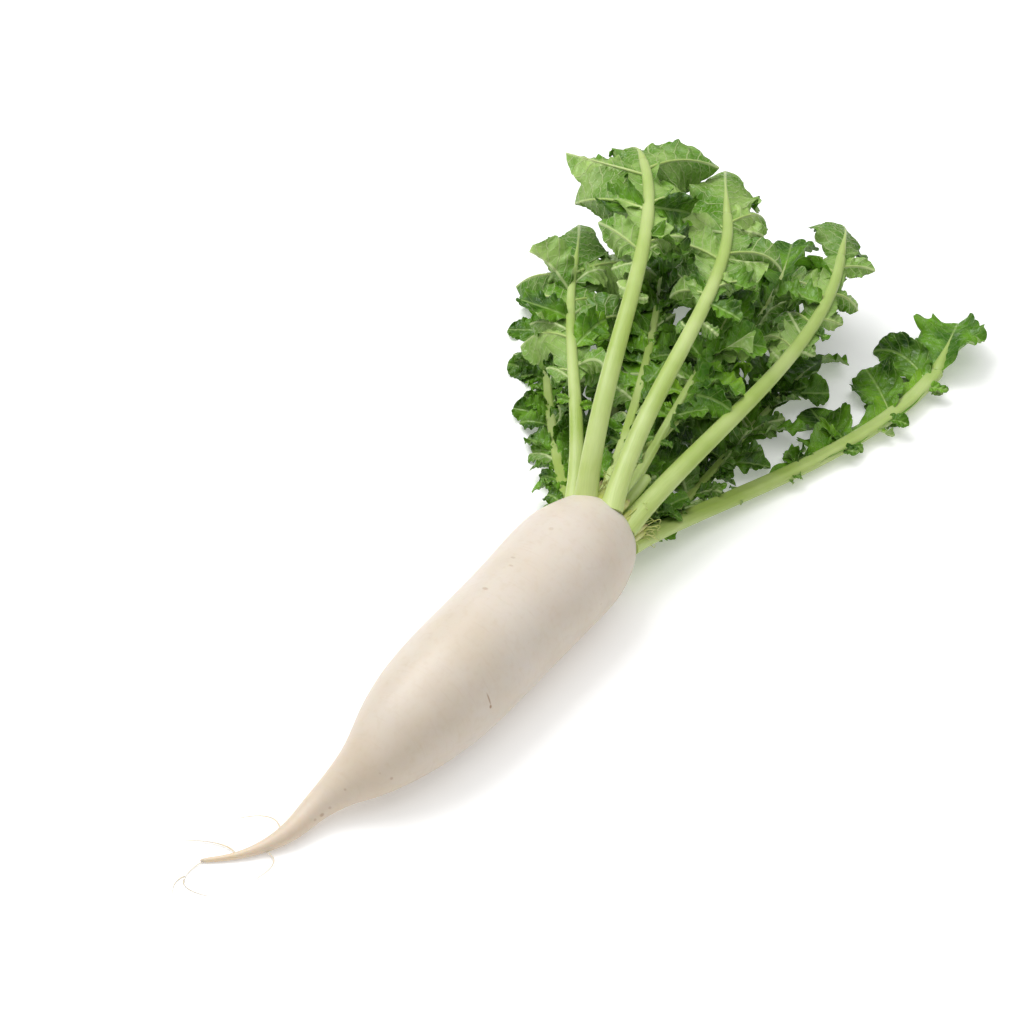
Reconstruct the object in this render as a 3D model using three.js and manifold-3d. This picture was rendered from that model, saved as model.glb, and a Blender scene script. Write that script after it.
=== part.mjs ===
// A daikon radish as pulled and laid on its side: one white taproot with its crown, tail and
// side rootlets, a rosette of lobed leaves on pale stalks, young heart leaves and the stub of one
// broken stalk. Millimetres, +Z up, +X from the tail to the leaves. The origin is the middle of
// the small flat that the root rests on.
import * as THREE from "three";
import { mergeVertices } from "three/addons/utils/BufferGeometryUtils.js";
import Module from "manifold-3d";

const wasm = await Module();
wasm.setup();

// Root: stations from the crown to the end of the tail, each [x, y, height of the axis, radius].
const ROOT_STATIONS = [
  [116, 0, 38, 19.5],
  [111, 0, 37.8, 25.5],
  [102, 0, 37.4, 31],
  [88, -0.2, 37, 35.2],
  [68, -0.7, 36.8, 36.9],
  [30, -1.5, 36.3, 36.6],
  [-20, -1.5, 35.6, 35.8],
  [-58, -1, 34, 33.6],
  [-88, 0.5, 31, 28.4],
  [-110, 4, 26, 20.5],
  [-126, 10, 19.5, 13],
  [-143, 15.5, 13, 8.4],
  [-163, 18.5, 8.4, 5.8],
  [-178, 25, 5.2, 3.6],
  [-192, 35, 3.3, 2],
  [-205, 49, 2.3, 1.2],
];
const ROOT_SIDES = 24;
const ROOT_RINGS = 36;
const CROWN_DOME = 2.5; // how far the middle of the crown stands out past its rim
const REST_DEPTH = 0.9; // how far the root is let down into the floor, which takes off its flat
const ROOT_WOBBLE = 0.011; // unevenness of the root's girth, as a share of its radius

// Side rootlets: where each leaves the tail (0 crown, 1 tip), the way it runs and where it ends.
const ROOTLET_RADIUS = 0.9;
const ROOTLET_TAPER = 0.35;
const ROOTLET_RINGS = 8;
const ROOTLET_SIDES = 5;
const ROOTLETS = [
  { from: 0.83, run: [-150, 34, 3], end: [-170, 52, 1.1] },
  { from: 0.88, run: [-176, 10, 1.4], end: [-196, 16, 1.1] },
  { from: 0.93, run: [-184, 44, 1.2], end: [-199, 66, 1.1] },
];

// Leaves: stalk path as four Bezier points, the side that faces the heart of the rosette, the
// stalk's base width, the leaflet pairs and where they begin, the largest side lobe and the end
// lobe. In degrees: how far the side lobes lean towards the inner side, how far the end lobe
// does, and how far the side lobes hang from flat. Then how much they droop, the height that they
// come to rest at, on the floor or on the leaves beneath, and the share of its size that each
// hand of the leaf has.
const UP = [0, 0, 1];
const DOWN = [0, 0, -1];
const SHINGLED = [0, 0.42, 1];
const EVEN = [1, 1];
const LEAVES = [
  { name: "leaf_low_right", path: [[107, -20, 34], [206, -15, -2], [302, -92, 9], [409, -80, 10]],
    inner: [0, 0.3, 1], width: 14, slim: 0.8, pairs: 4, first: 0.5, lobe: 54, end: 60,
    lean: 14, tip: 20, hang: 10, droop: 0.5, rest: 2.5, hands: [0.28, 1], seed: 1 },
  { name: "leaf_low_front", path: [[107, -12, 21], [181, -16, 0], [255, -4, 6], [342, -8, 7]],
    inner: SHINGLED, width: 9, pairs: 4, first: 0.42, lobe: 46, end: 52,
    lean: 4, tip: 10, hang: 10, droop: 0.5, rest: 2.5, hands: [0.8, 1], seed: 2 },
  { name: "leaf_low_middle", path: [[107, 1, 17.5], [190, 20, -2], [280, 56, 6], [372, 66, 7]],
    inner: SHINGLED, width: 9, pairs: 4, first: 0.4, lobe: 54, end: 58,
    lean: 4, tip: 16, hang: 10, droop: 0.5, rest: 2.5, hands: [1, 0.72], seed: 3 },
  { name: "leaf_low_back", path: [[107, 14, 22], [186, 48, -2], [280, 100, 6], [370, 124, 7]],
    inner: SHINGLED, width: 9, pairs: 4, first: 0.4, lobe: 54, end: 58,
    lean: 4, tip: 16, hang: 10, droop: 0.5, rest: 2.5, hands: [0.7, 0.85], seed: 4 },
  { name: "leaf_low_left", path: [[107, 19, 33], [166, 62, 0], [218, 122, 4], [304, 172, 7]],
    inner: SHINGLED, width: 9, pairs: 4, first: 0.42, lobe: 46, end: 54,
    lean: 4, tip: 16, hang: 10, droop: 0.5, rest: 2.5, hands: [0.88, 0.8], seed: 5 },
  { name: "leaf_middle", path: [[107, 7, 33], [196, 28, 54], [280, 70, 57], [352, 110, 50]],
    inner: SHINGLED, width: 8, pairs: 4, first: 0.42, lobe: 54, end: 56,
    lean: 0, tip: 10, hang: 20, droop: 0.6, rest: 30, hands: [0.68, 1], seed: 6 },
  { name: "leaf_thin", path: [[107, -3, 36], [161, 3, 46], [213, 9, 69], [268, 16, 78]],
    inner: SHINGLED, width: 8.5, pairs: 3, first: 0.6, lobe: 42, end: 50,
    lean: 0, tip: 8, hang: 20, droop: 0.5, rest: 34, hands: [1, 0.6], seed: 7 },
  { name: "leaf_arched_right", path: [[107, -18, 46], [204, -20, 68], [316, -43, 66], [406, 3, 74]],
    inner: [0, 0.25, -1], width: 12.5, pairs: 4, first: 0.64, lobe: 52, end: 52,
    lean: 2, tip: -14, hang: -26, droop: 0.7, rest: 60, hands: [1, 0.5], seed: 8 },
  { name: "leaf_high_front", path: [[107, 6, 48], [206, 17, 45], [303, 12, 41], [390, 38, 43]],
    inner: SHINGLED, width: 8.5, pairs: 4, first: 0.5, lobe: 54, end: 54,
    lean: 4, tip: 4, hang: 16, droop: 0.6, rest: 32, hands: [0.8, 0.8], seed: 9 },
  { name: "leaf_high_middle", path: [[107, -9, 57], [177, 16, 99], [272, 4, 125], [346, 61, 116]],
    inner: DOWN, width: 12.5, pairs: 3, first: 0.66, lobe: 60, end: 62,
    lean: -4, tip: -20, hang: -38, droop: 0.9, rest: 105, hands: [1, 0.8], seed: 10 },
  { name: "leaf_high_back", path: [[107, 9, 58], [160, 34, 136], [274, 59, 142], [340, 125, 137]],
    inner: DOWN, width: 12.5, pairs: 3, first: 0.64, lobe: 70, end: 42,
    lean: -8, tip: -6, hang: -42, droop: 0.8, rest: 124, hands: [0.94, 0.7], seed: 11 },
  { name: "leaf_high_left", path: [[107, 19, 46], [166, 48, 66], [216, 104, 81], [282, 136, 80]],
    inner: DOWN, width: 9.5, pairs: 4, first: 0.52, lobe: 58, end: 54,
    lean: -4, tip: -14, hang: -38, droop: 0.9, rest: 34, hands: [0.85, 1], seed: 12 },
];

// The young leaves in the middle of the crown.
const HEART_LEAVES = [
  { path: [[107, -1, 28], [126, -3, 30], [142, -10, 27], [160, -14, 24]],
    inner: UP, width: 5.5, pairs: 2, first: 0.5, lobe: 16, end: 22,
    lean: 20, tip: 10, hang: 15, droop: 0.3, rest: 14, hands: EVEN, seed: 21 },
  { path: [[107, 0, 29], [130, 0, 31], [150, 3, 32], [172, 9, 30]],
    inner: UP, width: 6, pairs: 2, first: 0.5, lobe: 18, end: 24,
    lean: 20, tip: 10, hang: 15, droop: 0.3, rest: 14, hands: EVEN, seed: 22 },
  { path: [[107, 1, 28], [126, 4, 29], [138, 14, 29], [152, 22, 27]],
    inner: UP, width: 5.5, pairs: 2, first: 0.5, lobe: 16, end: 22,
    lean: 20, tip: 10, hang: 15, droop: 0.3, rest: 14, hands: EVEN, seed: 23 },
];

// The stalk that broke off near the crown.
const STUB_PATH = [[107, -6.5, 44.5], [120, -7, 48], [134, -9, 53], [147, -10, 60]];
const STUB = { width: 8 };
const STUB_RINGS = 5;
const STUB_BREAK = 3; // how far one side of the broken end stands past the other
const STALK_SIDES = 6;
const STALK_TIP = 0.5; // width of a stalk at the leaf's end as a share of its base, unless slim says
const STALK_TAPER = 1.3; // how late along its length a stalk narrows
const STALK_DEPTH = 0.72; // a stalk's thickness as a share of its width
const BASE_FLARE = 0.2; // extra width where a stalk clasps the crown
const RIB_END = 0.97; // where along the path the end lobe begins
const LAST_PAIR = 0.92;
const SWEEP = 30; // degrees that side lobes point forward
const LOBE_WIDTH = 0.6; // a lobe's width as a share of its length
const END_WIDTH = 0.82;
const LOBE_TWIST = 25; // most degrees that a lobe turns about its midrib, past its hang
const GROWN = { rings: 10, sides: 5, end: 8 }; // steps along a stalk, a side lobe and an end lobe
const YOUNG = { rings: 6, sides: 3, end: 4 };
const BLADE_THICKNESS = 0.9;
const TOOTH = 0.2; // depth of the cut edge as a share of the half width
const FOLD = 0.22; // rise of a blade's edge from its midrib, as a share of the half width
const HOOD = 0.42; // the same for blades that lie with their underside up
const WAVE = 0.34; // height of the edge's wave, as a share of the half width
const FLOOR_GAP = 0.15; // between the lowest blades and the floor
const FLOOR_SIZE = 900;
const FLOOR_DEPTH = 60;
const TOUCH_GAP = 0.3; // between a stalk's base and the crown

const WHITE_SKIN = new THREE.MeshStandardMaterial({ color: 0xe9e0d2, roughness: 0.45, metalness: 0 });
const PALE_STALK = new THREE.MeshStandardMaterial({ color: 0xb4cb7c, roughness: 0.4, metalness: 0 });
const LEAF_GREEN = new THREE.MeshStandardMaterial({ color: 0x5c8f3a, roughness: 0.5, metalness: 0 });

const vector = (p) => new THREE.Vector3(...p);
const radians = THREE.MathUtils.degToRad;

// A repeatable number from 0 to 1 for each seed and count.
function chance(seed, count) {
  const s = Math.sin(seed * 12.9898 + count * 78.233) * 43758.5453;
  return s - Math.floor(s);
}

// A closed mesh as a solid for joining and cutting.
function solid(geometry) {
  geometry.deleteAttribute("normal");
  geometry.deleteAttribute("uv");
  const merged = mergeVertices(geometry, 1e-4);
  return new wasm.Manifold(new wasm.Mesh({
    numProp: 3,
    vertProperties: merged.attributes.position.array,
    triVerts: new Uint32Array(merged.index.array),
  }));
}

function meshOf(name, shape, material) {
  const made = shape.getMesh();
  const geometry = new THREE.BufferGeometry();
  geometry.setAttribute("position", new THREE.BufferAttribute(made.vertProperties, 3));
  geometry.setIndex(new THREE.BufferAttribute(made.triVerts, 1));
  geometry.computeVertexNormals();
  const mesh = new THREE.Mesh(geometry, material);
  mesh.name = name;
  return mesh;
}

// The frame at t along a curve: its point, its direction, its side and its inner normal.
function frameOn(curve, inner, t) {
  const along = curve.getTangent(t);
  const normal = inner.clone().addScaledVector(along, -inner.dot(along)).normalize();
  const side = new THREE.Vector3().crossVectors(along, normal);
  return { point: curve.getPoint(t), along, side, normal };
}

// A closed limb along a curve: outline(t, angle) gives its reach to the side and along the normal.
function limb(curve, inner, rings, sides, outline) {
  const geometry = new THREE.CylinderGeometry(1, 1, 1, sides, rings);
  const places = geometry.attributes.position;
  for (let i = 0; i < places.count; i++) {
    const t = places.getY(i) + 0.5;
    const reach = Math.hypot(places.getX(i), places.getZ(i));
    const angle = Math.atan2(places.getZ(i), places.getX(i));
    const at = frameOn(curve, inner, t);
    const [across, deep, forward] = outline(t, angle, reach);
    at.point.addScaledVector(at.side, across * reach).addScaledVector(at.normal, deep * reach);
    at.point.addScaledVector(at.along, forward);
    places.setXYZ(i, at.point.x, at.point.y, at.point.z);
  }
  return solid(geometry);
}

const rootAxis = new THREE.CatmullRomCurve3(
  ROOT_STATIONS.map(([x, y, z]) => new THREE.Vector3(x, y, z - REST_DEPTH)), false, "catmullrom", 0.5);
const rootGirth = new THREE.CatmullRomCurve3(
  ROOT_STATIONS.map(([, , , radius]) => new THREE.Vector3(radius, 0, 0)), false, "catmullrom", 0.5);

// The root's bare body; extra makes it stand out all round, to cut what touches it.
function rootBody(extra) {
  return limb(rootAxis, vector(UP), ROOT_RINGS, ROOT_SIDES, (t, angle, reach) => {
    const uneven = Math.sin(2 * angle + 9 * t) + 0.7 * Math.sin(3 * angle - 23 * t) + Math.sin(31 * t);
    const radius = rootGirth.getPoint(t).x * (1 + ROOT_WOBBLE * uneven * Math.min(1, 8 * t)) + extra;
    const dome = t === 0 ? -(CROWN_DOME * (1 - reach) + extra) : 0;
    return [radius * Math.cos(angle), radius * Math.sin(angle), dome];
  });
}

function rootlet({ from, run, end }) {
  const curve = new THREE.QuadraticBezierCurve3(rootAxis.getPoint(from), vector(run), vector(end));
  return limb(curve, vector(UP), ROOTLET_RINGS, ROOTLET_SIDES, (t, angle) => {
    const radius = ROOTLET_RADIUS * (1 - ROOTLET_TAPER * t);
    return [radius * Math.cos(angle), radius * Math.sin(angle), 0];
  });
}

// The floor as a slab, which takes the flat off the belly.
function floorSlab() {
  const slab = new THREE.BoxGeometry(FLOOR_SIZE, FLOOR_SIZE, FLOOR_DEPTH);
  slab.translate(0, 0, -FLOOR_DEPTH / 2);
  return solid(slab);
}

function rootShape() {
  const parts = [rootBody(0), ...ROOTLETS.map(rootlet)];
  return wasm.Manifold.union(parts).subtract(floorSlab());
}

// A lobe's half width along its midrib, from a narrow foot through its broadest part to its tip.
function lobeOutline(v, rows, notch) {
  const swell = Math.max(0, Math.sin(Math.PI * Math.pow(v, 1.15))) ** 0.75;
  const tooth = 1 + TOOTH * Math.cos(Math.PI * rows * v) - notch * Math.sin(3 * Math.PI * v) ** 2;
  return 0.14 * (1 - v) + 0.05 * v + 0.9 * swell * tooth;
}

// One lobe of leaf blade: a thin folded and waved sheet along a drooping midrib.
function lobe({ foot, out, normal, length, width, lean, droop, twist, rest, phase, notch, rows }) {
  const across = new THREE.Vector3().crossVectors(out, normal).normalize();
  const first = out.clone().applyAxisAngle(across, lean);
  const second = first.clone().addScaledVector(vector(DOWN), droop).normalize();
  const bend = foot.clone().addScaledVector(first, length / 2);
  const tip = bend.clone().addScaledVector(second, length / 2);
  bend.z = Math.max(bend.z, rest);
  tip.z = Math.max(tip.z, rest);
  const midrib = new THREE.QuadraticBezierCurve3(foot, bend, tip);
  const fold = normal.z < 0 ? HOOD : FOLD;
  const places = [];
  for (const face of [1, -1])
    for (let row = 0; row <= rows; row++) {
      const v = row / rows;
      const at = frameOn(midrib, normal, v);
      at.side.applyAxisAngle(at.along, twist * (0.4 + 0.6 * v));
      at.normal.applyAxisAngle(at.along, twist * (0.4 + 0.6 * v));
      const half = (width / 2) * lobeOutline(v, rows, notch);
      for (const u of [-1, 0, 1]) {
        const wave = u * u * WAVE * Math.sin(2 * Math.PI * (1.3 * v + phase + 0.35 * u));
        const rise = half * (fold * Math.abs(u) + wave);
        const p = at.point.clone().addScaledVector(at.side, u * half).addScaledVector(at.normal, rise);
        p.z = Math.max(p.z, FLOOR_GAP + BLADE_THICKNESS / 2);
        p.addScaledVector(at.normal, face * BLADE_THICKNESS / 2);
        places.push(p.x, p.y, p.z);
      }
    }
  return solid(sheet(places, rows));
}

// Faces of a closed three-column sheet whose upper and lower points are in places.
function sheet(places, rows) {
  const faces = [];
  const lower = 3 * (rows + 1);
  const quad = (a, b, c, d) => faces.push(a, b, c, a, c, d);
  for (let row = 0; row < rows; row++)
    for (const column of [0, 1]) {
      const a = 3 * row + column;
      faces.push(a, a + 1, a + 4, a, a + 4, a + 3);
      faces.push(lower + a, lower + a + 4, lower + a + 1, lower + a, lower + a + 3, lower + a + 4);
    }
  for (let row = 0; row < rows; row++) {
    const left = 3 * row;
    const right = left + 2;
    quad(left, left + 3, lower + left + 3, lower + left);
    quad(right + 3, right, lower + right, lower + right + 3);
  }
  for (const column of [0, 1]) {
    const end = 3 * rows + column;
    quad(column + 1, column, lower + column, lower + column + 1);
    quad(end, end + 1, lower + end + 1, lower + end);
  }
  const geometry = new THREE.BufferGeometry();
  geometry.setAttribute("position", new THREE.Float32BufferAttribute(places, 3));
  geometry.setIndex(faces);
  return geometry;
}

// A stalk's half width at t, with its clasping base; slim is the share of it left at the end.
function stalkHalf({ width, slim = STALK_TIP }, t) {
  const taper = 1 - (1 - slim) * Math.pow(t, STALK_TAPER);
  return (width / 2) * (taper + BASE_FLARE * Math.exp(-t / 0.06));
}

function stalk(curve, inner, leaf, rings) {
  return limb(curve, inner, rings, STALK_SIDES, (t, angle) => {
    const half = stalkHalf(leaf, t);
    return [half * Math.cos(angle), half * STALK_DEPTH * Math.sin(angle), 0];
  });
}

// The side lobes and the end lobe of one leaf.
function lobesOf(leaf, steps, curve, inner) {
  const made = [];
  for (let pair = 0; pair < leaf.pairs; pair++)
    for (const hand of [1, -1]) {
      const count = 2 * pair + (hand + 1) / 2;
      const grown = pair / (leaf.pairs - 1);
      const vary = (kind) => chance(leaf.seed, count + 20 * kind) - 0.5;
      const t = leaf.first + (LAST_PAIR - leaf.first) * grown - 0.014 * hand;
      const at = frameOn(curve, inner, t);
      const sweep = radians(SWEEP + 24 * vary(0));
      const out = at.side.clone().multiplyScalar(hand * Math.cos(sweep));
      out.addScaledVector(at.along, Math.sin(sweep));
      const size = 0.55 + 0.45 * Math.sin(Math.PI / 2 * Math.min(1, 1.5 * grown));
      const length = leaf.lobe * size * (1 + 0.3 * vary(1)) * leaf.hands[hand > 0 ? 0 : 1];
      made.push(lobe({
        foot: at.point.clone().addScaledVector(at.side, hand * 0.45 * stalkHalf(leaf, t)),
        out, normal: at.normal, length, width: LOBE_WIDTH * length * (1 + 0.2 * vary(5)),
        lean: radians(leaf.lean + 24 * vary(2)), droop: leaf.droop,
        twist: radians(hand * leaf.hang + 2 * LOBE_TWIST * vary(4)),
        rest: leaf.rest, phase: vary(3), notch: 0, rows: steps.sides,
      }));
    }
  const at = frameOn(curve, inner, RIB_END);
  made.push(lobe({
    foot: at.point, out: at.along, normal: at.normal, length: leaf.end, width: END_WIDTH * leaf.end,
    lean: radians(leaf.tip), droop: leaf.droop, twist: 0, rest: leaf.rest,
    phase: chance(leaf.seed, 90), notch: 0.16, rows: steps.end,
  }));
  return made;
}

function leafShape(leaf, steps) {
  const curve = new THREE.CubicBezierCurve3(...leaf.path.map(vector));
  const inner = vector(leaf.inner).normalize();
  return wasm.Manifold.union([
    stalk(curve, inner, leaf, steps.rings),
    ...lobesOf(leaf, steps, curve, inner),
  ]);
}

// A stalk that broke off near the crown, with a slanting end.
function stubShape() {
  const curve = new THREE.CubicBezierCurve3(...STUB_PATH.map(vector));
  return limb(curve, vector(DOWN), STUB_RINGS, STALK_SIDES, (t, angle, reach) => {
    const half = stalkHalf(STUB, 0.4 * t);
    const slant = t === 1 ? STUB_BREAK * reach * Math.sin(angle) : 0;
    return [half * Math.cos(angle), half * STALK_DEPTH * Math.sin(angle), slant];
  });
}

const daikon = new THREE.Group();
const crown = rootBody(TOUCH_GAP);
daikon.add(meshOf("root", rootShape(), WHITE_SKIN));
daikon.add(meshOf("stub_stalk", stubShape().subtract(crown), PALE_STALK));
const heart = wasm.Manifold.union(HEART_LEAVES.map((leaf) => leafShape(leaf, YOUNG)));
daikon.add(meshOf("heart_leaves", heart.subtract(crown), LEAF_GREEN));
for (const leaf of LEAVES) {
  daikon.add(meshOf(leaf.name, leafShape(leaf, GROWN).subtract(crown), LEAF_GREEN));
}

export default daikon;
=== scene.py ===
"""A daikon radish laid on its side: ivory root with tail and rootlets, and a rosette of lobed leaves."""

import math
import random

import bpy
import numpy as np
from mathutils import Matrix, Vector


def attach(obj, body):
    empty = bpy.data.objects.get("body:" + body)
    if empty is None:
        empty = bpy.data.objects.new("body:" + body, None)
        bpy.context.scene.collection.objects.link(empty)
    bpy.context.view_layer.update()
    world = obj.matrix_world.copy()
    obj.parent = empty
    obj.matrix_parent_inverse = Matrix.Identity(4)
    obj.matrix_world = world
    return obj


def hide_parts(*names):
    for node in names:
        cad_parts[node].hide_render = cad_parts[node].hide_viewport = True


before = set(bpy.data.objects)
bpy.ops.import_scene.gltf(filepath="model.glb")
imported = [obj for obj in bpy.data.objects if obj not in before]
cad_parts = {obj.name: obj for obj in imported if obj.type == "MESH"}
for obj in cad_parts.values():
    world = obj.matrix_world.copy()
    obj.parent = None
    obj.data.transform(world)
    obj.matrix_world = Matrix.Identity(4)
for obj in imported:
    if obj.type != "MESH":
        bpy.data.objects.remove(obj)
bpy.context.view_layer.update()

MM = 0.001

# Root: stations from the crown to the end of the tail, each (x, y, height of the axis, radius), in mm.
ROOT_STATIONS = (
    (116, 0, 38, 19.5),
    (111, 0, 37.8, 25.5),
    (102, 0, 37.4, 31),
    (88, -0.2, 37, 35.2),
    (68, -0.7, 36.8, 36.9),
    (30, -1.5, 36.3, 36.6),
    (-20, -1.5, 35.6, 35.8),
    (-58, -1, 34, 33.6),
    (-88, 0.5, 31, 28.4),
    (-110, 4, 26, 20.5),
    (-126, 10, 19.5, 13),
    (-143, 15.5, 13, 8.4),
    (-163, 18.5, 8.4, 5.8),
    (-178, 25, 5.2, 3.6),
    (-192, 35, 3.3, 2),
    (-205, 49, 2.3, 1.2),
)
REST_DEPTH = 0.9  # how far the root is let down into the floor, which takes off its flat
ROOT_WOBBLE = 0.011
ROOT_SIDES = 32
RINGS_PER_STATION = 3
CROWN_DOME = 2.5

# Side rootlets that the solid has: where each leaves the tail, the way it runs and where it ends.
ROOTLET_RADIUS = 0.6
ROOTLETS = (
    (0.83, (-150, 34, 3), (-170, 52, 1.1)),
    (0.88, (-176, 10, 1.4), (-196, 16, 1.1)),
    (0.93, (-184, 44, 1.2), (-199, 66, 1.1)),
)

# A thin filament that splits at the end of the tail.
FILAMENTS = (
    ((-203, 47, 1.4), (-211, 50, 0.5), (-217, 50, 0.5), (-221, 46, 0.4)),
    ((-219, 48, 0.5), (-224, 46, 0.4), (-223, 38, 0.4), (-220, 30, 0.4)),
    ((-217, 49, 0.5), (-222, 52, 0.4), (-227, 50, 0.4), (-231, 45, 0.4)),
)
FILAMENT_RADIUS = 0.35

# Marks on the skin: middle, reach along each axis in mm, and how dark.
MARKS = (
    ((-49.8, -33.1, 45.8), (0.7, 5, 5.2), 0.6),
    ((-50.2, -34.7, 41.0), (1.1, 3, 1.5), 0.8),
    ((0.4, 6.0, 70.4), (1.4, 2.4, 4), 0.35),
    ((30.6, 8.0, 70.5), (1.0, 2.0, 4), 0.28),
    ((24.0, 4.6, 71.0), (0.9, 1.8, 4), 0.26),
    ((62.0, 3.0, 72.4), (1.8, 2.0, 4), 0.2),
    ((-123.8, 2.3, 38.0), (1.4, 1.4, 1.4), 0.42),
    ((-122.8, -4.5, 36.7), (1.3, 1.5, 1.5), 0.46),
    ((-120.0, -10.5, 33.1), (1.4, 1.4, 1.4), 0.4),
    ((-115.9, -15.4, 28.4), (1.3, 1.5, 1.5), 0.42),
    ((-134.3, 3.1, 24.2), (1.2, 1.2, 1.2), 0.4),
    ((-148.2, 8.8, 12.7), (1.6, 1.6, 1.4), 0.5),
    ((-143.4, 6.9, 15.3), (1.1, 1.1, 1.1), 0.3),
    ((-152.7, 10.1, 11.9), (1.1, 1.1, 1.1), 0.3),
)

# Leaves, as the solids have them: stalk path, side that faces the heart, stalk width, lobe pairs and
# where they begin, side lobe and end lobe, lean of the side lobes, of the end lobe and hang in
# degrees, droop, resting height, the share of its size that each hand has, the seed of its uneven
# growth, and how slim the end of its stalk is.
UP = (0, 0, 1)
DOWN = (0, 0, -1)
SHINGLED = (0, 0.42, 1)
EVEN = (1, 1)
STALK_TIP = 0.5


def leaf(name, path, inner, width, pairs, first, lobe, end, lean, tip, hang, droop, rest, hands, seed,
         slim=STALK_TIP):
    """One leaf's measures under their names."""
    return dict(name=name, path=path, inner=inner, width=width, pairs=pairs, first=first, lobe=lobe,
                end=end, lean=lean, tip=tip, hang=hang, droop=droop, rest=rest, hands=hands, seed=seed,
                slim=slim)


LEAVES = (
    leaf("leaf_low_right", ((107, -20, 34), (206, -15, -2), (302, -92, 9), (409, -80, 10)),
         (0, 0.3, 1), 14, 4, 0.5, 54, 60, 14, 20, 10, 0.5, 2.5, (0.28, 1), 1, slim=0.8),
    leaf("leaf_low_front", ((107, -12, 21), (181, -16, 0), (255, -4, 6), (342, -8, 7)),
         SHINGLED, 9, 4, 0.42, 46, 52, 4, 10, 10, 0.5, 2.5, (0.8, 1), 2),
    leaf("leaf_low_middle", ((107, 1, 17.5), (190, 20, -2), (280, 56, 6), (372, 66, 7)),
         SHINGLED, 9, 4, 0.4, 54, 58, 4, 16, 10, 0.5, 2.5, (1, 0.72), 3),
    leaf("leaf_low_back", ((107, 14, 22), (186, 48, -2), (280, 100, 6), (370, 124, 7)),
         SHINGLED, 9, 4, 0.4, 54, 58, 4, 16, 10, 0.5, 2.5, (0.7, 0.85), 4),
    leaf("leaf_low_left", ((107, 19, 33), (166, 62, 0), (218, 122, 4), (304, 172, 7)),
         SHINGLED, 9, 4, 0.42, 46, 54, 4, 16, 10, 0.5, 2.5, (0.88, 0.8), 5),
    leaf("leaf_middle", ((107, 7, 33), (196, 28, 54), (280, 70, 57), (352, 110, 50)),
         SHINGLED, 8, 4, 0.42, 54, 56, 0, 10, 20, 0.6, 30, (0.68, 1), 6),
    leaf("leaf_thin", ((107, -3, 36), (161, 3, 46), (213, 9, 69), (268, 16, 78)),
         SHINGLED, 8.5, 3, 0.6, 42, 50, 0, 8, 20, 0.5, 34, (1, 0.6), 7),
    leaf("leaf_arched_right", ((107, -18, 46), (204, -20, 68), (316, -43, 66), (406, 3, 74)),
         (0, 0.25, -1), 12.5, 4, 0.64, 52, 52, 2, -14, -26, 0.7, 60, (1, 0.5), 8),
    leaf("leaf_high_front", ((107, 6, 48), (206, 17, 45), (303, 12, 41), (390, 38, 43)),
         SHINGLED, 8.5, 4, 0.5, 54, 54, 4, 4, 16, 0.6, 32, (0.8, 0.8), 9),
    leaf("leaf_high_middle", ((107, -9, 57), (177, 16, 99), (272, 4, 125), (346, 61, 116)),
         DOWN, 12.5, 3, 0.66, 60, 62, -4, -20, -38, 0.9, 105, (1, 0.8), 10),
    leaf("leaf_high_back", ((107, 9, 58), (160, 34, 136), (274, 59, 142), (340, 125, 137)),
         DOWN, 12.5, 3, 0.64, 70, 42, -8, -6, -42, 0.8, 124, (0.94, 0.7), 11),
    leaf("leaf_high_left", ((107, 19, 46), (166, 48, 66), (216, 104, 81), (282, 136, 80)),
         DOWN, 9.5, 4, 0.52, 58, 54, -4, -14, -38, 0.9, 34, (0.85, 1), 12),
)
HEART_LEAVES = (
    leaf("heart_right", ((107, -1, 28), (126, -3, 30), (142, -10, 27), (160, -14, 24)),
         UP, 5.5, 2, 0.5, 16, 22, 20, 10, 15, 0.3, 14, EVEN, 21),
    leaf("heart_middle", ((107, 0, 29), (130, 0, 31), (150, 3, 32), (172, 9, 30)),
         UP, 6, 2, 0.5, 18, 24, 20, 10, 15, 0.3, 14, EVEN, 22),
    leaf("heart_left", ((107, 1, 28), (126, 4, 29), (138, 14, 29), (152, 22, 27)),
         UP, 5.5, 2, 0.5, 16, 22, 20, 10, 15, 0.3, 14, EVEN, 23),
)
STUB_PATH = ((107, -6.5, 44.5), (120, -7, 48), (134, -9, 53), (147, -10, 60))
STUB = dict(width=8, slim=STALK_TIP)
STUB_SHARE = 0.4  # the stub's length as a share of the leaf stalk that it is left of
STUB_SEED = 31

STALK_TAPER = 1.3
STALK_DEPTH = 0.72
BASE_FLARE = 0.2
RIB_END = 0.97
STALK_END = 0.985
LAST_PAIR = 0.92
SWEEP = 30
LOBE_WIDTH = 0.6
END_WIDTH = 0.82
LOBE_TWIST = 25
SIDE_STEPS = 5
END_STEPS = 8
YOUNG_SIDE_STEPS = 3
YOUNG_END_STEPS = 4
TOOTH = 0.1
FOLD = 0.22
HOOD = 0.42
WAVE = 0.34
FLOOR_GAP = 0.15

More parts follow.
